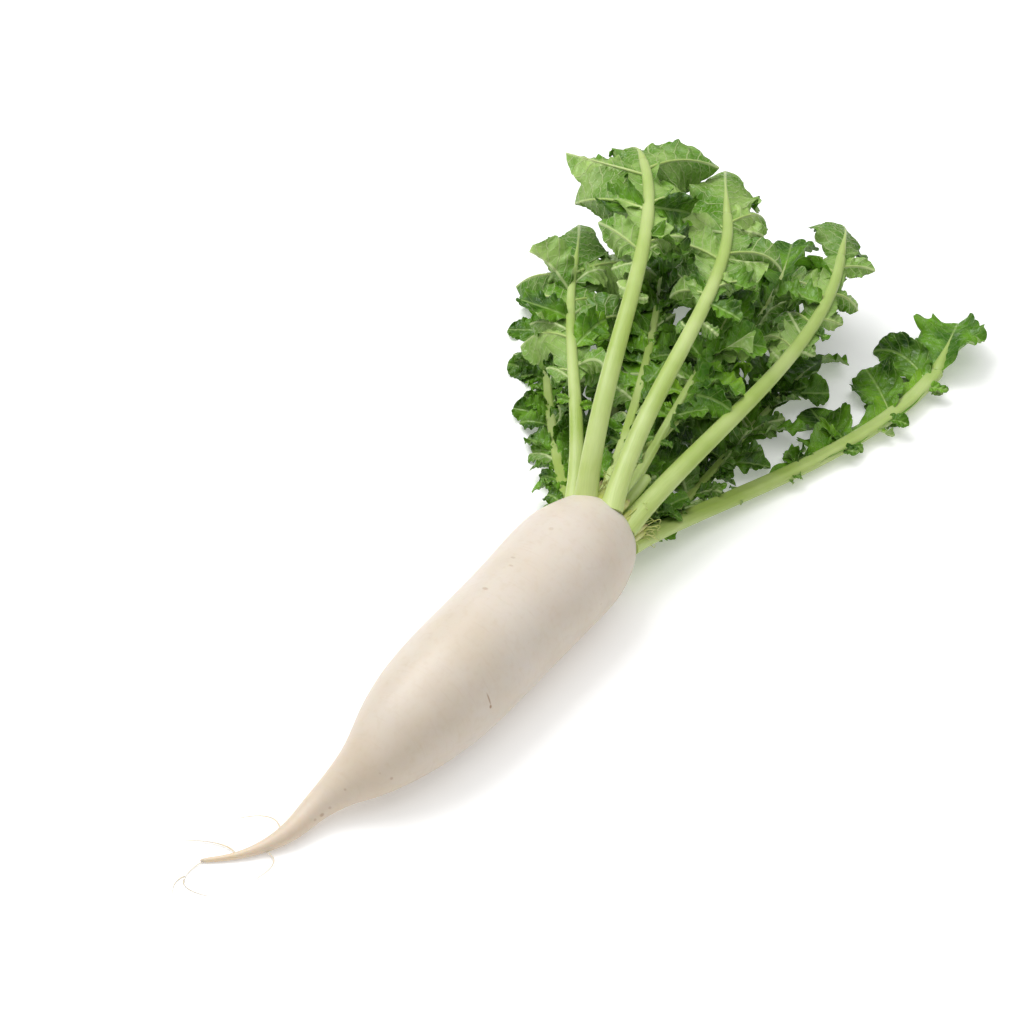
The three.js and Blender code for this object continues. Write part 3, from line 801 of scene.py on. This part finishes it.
def build_crown(column, hair):
    """Short stumps of shed leaf stalks round the crown, and the curled threads between them."""
    draw = random.Random(CROWN_SEED)
    stumps, threads = [], []
    for k in range(STUMPS):
        angle = 2 * math.pi * (k + draw.uniform(-0.3, 0.3)) / STUMPS
        away = draw.uniform(19.5, 23)
        outward = np.array((0, math.cos(angle), math.sin(angle)))
        foot = np.array((STUMP_FOOT, 0, CROWN_HEIGHT - REST_DEPTH)) + outward * away
        tall = draw.uniform(11, 20)
        turn = draw.uniform(0, 1.2)
        middle = foot + np.array((tall * 0.6, 0, 0)) + outward * 0.5 * turn
        end = foot + np.array((tall, 0, 0)) + outward * (2.5 * turn + 0.5)
        wide = draw.uniform(3.5, 8)
        path = foot, (foot + middle) / 2, middle, end
        stumps.append(laid_stalk(column, "stump", path, -outward, lambda t: stump_half(wide, t), (0, 1),
                                 STUMP_SEED + k, STUMP_GROOVE))
    for k in range(THREADS):
        angle = draw.uniform(-0.4, 2.0)
        outward = np.array((0, -math.sin(angle), math.cos(angle)))
        foot = np.array((THREAD_FOOT, 0, CROWN_HEIGHT)) + outward * draw.uniform(18, 22)
        reach = draw.uniform(8, 24)
        sway = np.array([draw.uniform(-1, 1) for _ in range(3)]) * reach * 0.5
        ahead = np.array((reach, 0, 0))
        path = [foot, foot + ahead * 0.5 + sway, foot + ahead + outward * 6 - sway,
                foot + ahead * 0.8 + outward * 9]
        threads.append(laid_hair(hair, "thread", path, draw.uniform(0.4, 0.6)))
    for thread in threads:
        set_attribute(thread, "around", np.zeros(len(thread.data.vertices)))
        set_attribute(thread, "tint", np.zeros(len(thread.data.vertices)))
    return stumps + threads


# Materials.
def make(tree, kind, inputs=None, **settings):
    """A shader node with its settings and its inputs, which are values or other nodes' outputs."""
    made = tree.nodes.new(kind)
    for key, value in settings.items():
        setattr(made, key, value)
    for key, value in (inputs or {}).items():
        if isinstance(value, bpy.types.NodeSocket):
            tree.links.new(value, made.inputs[key])
        else:
            made.inputs[key].default_value = value
    return made


def start_material(name):
    material = bpy.data.materials.new(name)
    material.use_nodes = True
    tree = material.node_tree
    return material, tree, tree.nodes["Principled BSDF"]


def attribute(tree, name):
    return make(tree, "ShaderNodeAttribute", attribute_name=name).outputs["Fac"]


def maths(tree, operation, a, b=0.0, c=0.0):
    return make(tree, "ShaderNodeMath", {0: a, 1: b, 2: c}, operation=operation).outputs[0]


def between(tree, value, low, high, to_low=0.0, to_high=1.0):
    """A value brought from one range to another and kept inside it."""
    names = {"Value": value, "From Min": low, "From Max": high, "To Min": to_low, "To Max": to_high}
    return make(tree, "ShaderNodeMapRange", names).outputs[0]


def mixed(tree, share, a, b, blend="MIX"):
    """Two colours mixed by a share."""
    made = make(tree, "ShaderNodeMix", data_type="RGBA", blend_type=blend)
    for index, value in ((0, share), (6, a), (7, b)):
        if isinstance(value, bpy.types.NodeSocket):
            tree.links.new(value, made.inputs[index])
        else:
            made.inputs[index].default_value = value if index == 0 else (*value, 1)
    return made.outputs[2]


def noise(tree, place, scale, detail=2.0, **more):
    inputs = {"Vector": place, "Scale": scale, "Detail": detail, **more}
    return make(tree, "ShaderNodeTexNoise", inputs).outputs[0]


def stretched(tree, place, scale):
    return make(tree, "ShaderNodeMapping", {"Vector": place, "Scale": scale}).outputs[0]


def skin_material():
    """Ivory root skin: warmer at the tail, faint lines round it, and a few brown pores."""
    material, tree, skin = start_material("ivory root skin")
    place = make(tree, "ShaderNodeTexCoord").outputs["Object"]
    rise = attribute(tree, "rise")
    clouds = noise(tree, place, 22.0)
    lines = noise(tree, stretched(tree, place, (700, 60, 60)), 1.0, 3.0)
    colour = mixed(tree, between(tree, clouds, 0.3, 0.7), IVORY, IVORY_SHADE)
    colour = mixed(tree, between(tree, rise, 0.55, 0.95), colour, TAIL_IVORY)
    specks = noise(tree, place, 260.0, 3.0)
    colour = mixed(tree, between(tree, specks, 0.5, 0.75, 0.0, 0.16), colour, LINE_BROWN)
    streak = between(tree, lines, 0.58, 0.75, 0.0, 0.15)
    colour = mixed(tree, streak, colour, LINE_BROWN)
    cells = make(tree, "ShaderNodeTexVoronoi", {"Vector": stretched(tree, place, (0.55, 1, 1)),
                                                "Scale": 95.0})
    few = between(tree, noise(tree, place, 9.0), 0.5, 0.62)
    dots = between(tree, cells.outputs["Distance"], 0.03, 0.065, 0.3, 0.0)
    pores = maths(tree, "MULTIPLY", dots, few)
    for middle, reach, dark in MARKS:
        away = make(tree, "ShaderNodeVectorMath", {0: place, 1: [v * MM for v in middle]},
                    operation="SUBTRACT")
        away = stretched(tree, away.outputs[0], [1 / (v * MM) for v in reach])
        away = make(tree, "ShaderNodeVectorMath", {0: away}, operation="LENGTH").outputs["Value"]
        pores = maths(tree, "MAXIMUM", pores, between(tree, away, 1.0, 0.55, 0.0, dark))
    colour = mixed(tree, pores, colour, PORE_BROWN)
    colour = mixed(tree, between(tree, rise, 0.03, 0.0, 0.0, 0.8), colour, CROWN_GREEN)
    height = maths(tree, "SUBTRACT", maths(tree, "MULTIPLY", lines, 0.12), pores)
    bump = make(tree, "ShaderNodeBump", {"Height": height, "Strength": 0.35, "Distance": 0.0006})
    tree.links.new(colour, skin.inputs["Base Color"])
    tree.links.new(bump.outputs[0], skin.inputs["Normal"])
    skin.inputs["Roughness"].default_value = 0.42
    skin.inputs["Subsurface Weight"].default_value = 0.4
    skin.inputs["Subsurface Radius"].default_value = (1.0, 0.6, 0.3)
    skin.inputs["Subsurface Scale"].default_value = 0.008
    return material


def stalk_material():
    """Pale green leaf stalk: paler at its foot, finely ribbed along its length, with pale patches painted on
    as highlights.
    """
    material, tree, skin = start_material("pale green stalk")
    place = make(tree, "ShaderNodeTexCoord").outputs["Object"]
    rise = attribute(tree, "rise")
    around = attribute(tree, "around")
    fibres = make(tree, "ShaderNodeCombineXYZ", {"X": maths(tree, "MULTIPLY", around, 5.0),
                                                 "Y": maths(tree, "MULTIPLY", rise, 14.0)})
    ribs = noise(tree, fibres.outputs[0], 1.6, 2.0)
    colour = mixed(tree, between(tree, rise, 0.0, 0.28), STALK_FOOT, STALK_GREEN)
    colour = mixed(tree, between(tree, rise, 0.4, 1.0), colour, STALK_TOP)
    colour = mixed(tree, between(tree, ribs, 0.35, 0.7, 0.0, 0.35), colour, STALK_LINE)
    # Painted highlight: pale patches laid over the stalk by noise.
    colour = mixed(tree, between(tree, noise(tree, place, 30.0), 0.4, 0.68, 0.0, 0.45), colour, STALK_PAINTED_HIGHLIGHT)
    bump = make(tree, "ShaderNodeBump", {"Height": ribs, "Strength": 0.25, "Distance": 0.0006})
    tree.links.new(colour, skin.inputs["Base Color"])
    tree.links.new(bump.outputs[0], skin.inputs["Normal"])
    skin.inputs["Roughness"].default_value = 0.38
    skin.inputs["Subsurface Weight"].default_value = 0.2
    skin.inputs["Subsurface Radius"].default_value = (0.7, 1.0, 0.3)
    skin.inputs["Subsurface Scale"].default_value = 0.002
    return material


def stump_material():
    """Dry yellow-green stalk stump, brown at its torn end."""
    material, tree, skin = start_material("dry stalk stump")
    place = make(tree, "ShaderNodeTexCoord").outputs["Object"]
    rise = attribute(tree, "rise")
    patches = noise(tree, place, 180.0, 3.0)
    colour = mixed(tree, between(tree, patches, 0.35, 0.65), STUMP_GREEN, STUMP_PALE)
    torn = maths(tree, "MULTIPLY", between(tree, rise, 0.7, 1.0), between(tree, patches, 0.4, 0.6))
    colour = mixed(tree, torn, colour, STUMP_BROWN)
    tree.links.new(colour, skin.inputs["Base Color"])
    skin.inputs["Roughness"].default_value = 0.6
    return material


def leaf_material():
    """Green leaf with a net of paler veins, greyer beneath, that lets some light through; a low tint darkens
    it, partly as random tone and partly as painted shade on low and crowded leaves.
    """
    material, tree, skin = start_material("radish leaf")
    place = make(tree, "ShaderNodeTexCoord").outputs["Object"]
    flat = make(tree, "ShaderNodeUVMap").outputs[0]
    under = attribute(tree, "under")
    tint = attribute(tree, "tint")
    past_vein = maths(tree, "FRACT", attribute(tree, "vein"))
    off_vein = maths(tree, "ABSOLUTE", maths(tree, "SUBTRACT", past_vein, 0.5))
    side_vein = between(tree, off_vein, 0.44, 0.49)
    midrib = between(tree, attribute(tree, "rib"), 1.3, 0.5)
    cells = make(tree, "ShaderNodeTexVoronoi", {"Vector": flat, "Scale": 3.2}, feature="DISTANCE_TO_EDGE")
    net = between(tree, cells.outputs["Distance"], 0.09, 0.0)
    large_veins = maths(tree, "MAXIMUM", midrib, side_vein)
    veins = maths(tree, "MAXIMUM", large_veins, maths(tree, "MULTIPLY", net, 0.35))
    clouds = noise(tree, place, 45.0, 3.0)
    # Tint is random tone, lowered on low leaves and crowded leaflets as painted shade; a low tint pulls the
    # colour towards LEAF_DEEP and UNDER_DARK.
    deep = mixed(tree, between(tree, tint, 0.1, 0.9), LEAF_DEEP, LEAF_MID)
    light = mixed(tree, between(tree, tint, 0.6, 0.95), LEAF_LIGHT, LEAF_BRIGHT)
    upper = mixed(tree, between(tree, clouds, 0.36, 0.7), deep, light)
    upper = mixed(tree, maths(tree, "MULTIPLY", veins, 0.6), upper, VEIN_PALE)
    lower = mixed(tree, between(tree, clouds, 0.36, 0.7), UNDER_DEEP, UNDER_LIGHT)
    lower = mixed(tree, between(tree, tint, 0.5, 0.1, 0.0, 0.65), lower, UNDER_DARK)
    lower = mixed(tree, maths(tree, "MULTIPLY", veins, 0.75), lower, UNDER_VEIN)
    colour = mixed(tree, under, upper, lower)
    rough = maths(tree, "MULTIPLY", noise(tree, flat, 9.0), 0.35)
    raised = maths(tree, "MULTIPLY_ADD", under, 2.0, -1.0)
    height = maths(tree, "ADD", rough, maths(tree, "MULTIPLY", veins, raised))
    bump = make(tree, "ShaderNodeBump", {"Height": height, "Strength": 0.6, "Distance": 0.0008})
    tree.links.new(colour, skin.inputs["Base Color"])
    tree.links.new(bump.outputs[0], skin.inputs["Normal"])
    skin.inputs["Roughness"].default_value = 0.27
    skin.inputs["Specular IOR Level"].default_value = 0.42
    through = make(tree, "ShaderNodeBsdfTranslucent", {"Color": mixed(tree, 0.5, colour, LEAF_GLOW),
                                                       "Normal": bump.outputs[0]})
    both = make(tree, "ShaderNodeMixShader", {0: 0.2, 1: skin.outputs[0], 2: through.outputs[0]})
    tree.links.new(both.outputs[0], tree.nodes["Material Output"].inputs["Surface"])
    return material


def floor_material():
    material, _, paint = start_material("white floor")
    paint.inputs["Base Color"].default_value = (*FLOOR_WHITE, 1)
    paint.inputs["Roughness"].default_value = 0.9
    paint.inputs["Emission Color"].default_value = (1, 1, 1, 1)
    paint.inputs["Emission Strength"].default_value = FLOOR_GLOW
    return material


# The radish.
ROOT_SLOT, STALK_SLOT, LEAF_SLOT = "root_skin", "stalk", "leaf"
skin_look = skin_material()
stalk_look = stalk_material()
leaf_look = leaf_material()
stump_look = stump_material()

root = build_root()
hair = column_pattern(HAIR_SIDES, HAIR_RINGS)
hairs = [root]
for t, run, end in ROOTLETS:
    start = root_at(t)[0][0]
    hairs.append(laid_hair(hair, "rootlet", (start, run, end), ROOTLET_RADIUS))
hairs += [laid_hair(hair, "filament", path, FILAMENT_RADIUS) for path in FILAMENTS]
root = joined(hairs, "root_flesh")
smooth(root)
finish_piece(root, ROOT_SLOT, skin_look, "root")

fine_blade = blade_pattern(BLADE_COLUMNS, BLADE_ROWS)
small_blade = blade_pattern(LEAFLET_COLUMNS, LEAFLET_ROWS)
stalk_column = column_pattern(STALK_SIDES, STALK_RINGS)
rib_column = column_pattern(RIB_SIDES, RIB_RINGS)

patterns = fine_blade, small_blade, stalk_column, rib_column
for measures in LEAVES:
    blades, stalks = build_leaf(measures, patterns, SIDE_STEPS, END_STEPS)
    name = measures["name"]
    blade = joined(blades, f"{name}_blades")
    smooth(blade, BLADE_SMOOTH_ANGLE)
    finish_piece(blade, LEAF_SLOT, leaf_look, name)
    stalk = joined(stalks, f"{name}_stalks")
    smooth(stalk)
    finish_piece(stalk, STALK_SLOT, stalk_look, name)

young_blades, young_stalks = [], []
patterns = small_blade, small_blade, stalk_column, rib_column
for measures in HEART_LEAVES:
    blades, stalks = build_leaf(measures, patterns, YOUNG_SIDE_STEPS, YOUNG_END_STEPS)
    young_blades += blades
    young_stalks += stalks
blade = joined(young_blades, "heart_blades")
smooth(blade, BLADE_SMOOTH_ANGLE)
finish_piece(blade, LEAF_SLOT, leaf_look, "heart_leaves")
stalk = joined(young_stalks, "heart_stalks")
smooth(stalk)
finish_piece(stalk, STALK_SLOT, stalk_look, "heart_leaves")

crown = joined(build_crown(stalk_column, hair), "crown_stumps")
smooth(crown)
finish_piece(crown, STALK_SLOT, stump_look, "root")

stub = laid_stalk(stalk_column, "stub_stalk_skin", STUB_PATH, DOWN,
                  lambda t: stalk_half(STUB, STUB_SHARE * t), (emerging(STUB_PATH), 1), STUB_SEED)
smooth(stub)
finish_piece(stub, STALK_SLOT, stalk_look, "stub_stalk")

for pattern in (hair, fine_blade, small_blade, stalk_column, rib_column):
    bpy.data.objects.remove(pattern)

# Floor, light and camera.
bpy.ops.mesh.primitive_plane_add(size=FLOOR_SIZE, location=(0, 0, 0))
floor = bpy.context.object
floor.name = "floor"
floor.data.materials.append(floor_material())

around, high = math.radians(CAMERA_AZIMUTH), math.radians(CAMERA_ELEVATION)
back = Vector((math.sin(around) * math.cos(high), -math.cos(around) * math.cos(high), math.sin(high)))
right = Vector((math.cos(around), math.sin(around), 0))
beyond = Vector((-math.sin(around), math.cos(around), 0))

camera_data = bpy.data.cameras.new("camera")
camera_data.lens = CAMERA_LENS
camera_data.sensor_width = CAMERA_SENSOR
camera = bpy.data.objects.new("camera", camera_data)
camera.location = CAMERA_TARGET + back * CAMERA_AWAY
camera.rotation_euler = (-back).to_track_quat("-Z", "Y").to_euler()
bpy.context.scene.collection.objects.link(camera)
bpy.context.scene.camera = camera


def soft_light(name, place, size, power):
    """A square light that faces the middle of the radish."""
    data = bpy.data.lights.new(name, "AREA")
    data.size = size
    data.energy = power
    light = bpy.data.objects.new(name, data)
    light.location = place
    light.rotation_euler = (CAMERA_TARGET - place).to_track_quat("-Z", "Y").to_euler()
    bpy.context.scene.collection.objects.link(light)


key_right, key_beyond, key_up = KEY_PLACE
key_place = CAMERA_TARGET + right * key_right + beyond * key_beyond + Vector((0, 0, key_up))
soft_light("key light", key_place, KEY_SIZE, KEY_WATTS)
soft_light("top light", CAMERA_TARGET + Vector((0, 0, TOP_HEIGHT)), TOP_SIZE, TOP_WATTS)

world = bpy.data.worlds.new("white room")
world.use_nodes = True
world.node_tree.nodes["Background"].inputs["Color"].default_value = (1, 1, 1, 1)
world.node_tree.nodes["Background"].inputs["Strength"].default_value = ROOM_LIGHT
bpy.context.scene.world = world
bpy.context.scene.view_settings.view_transform = "Standard"
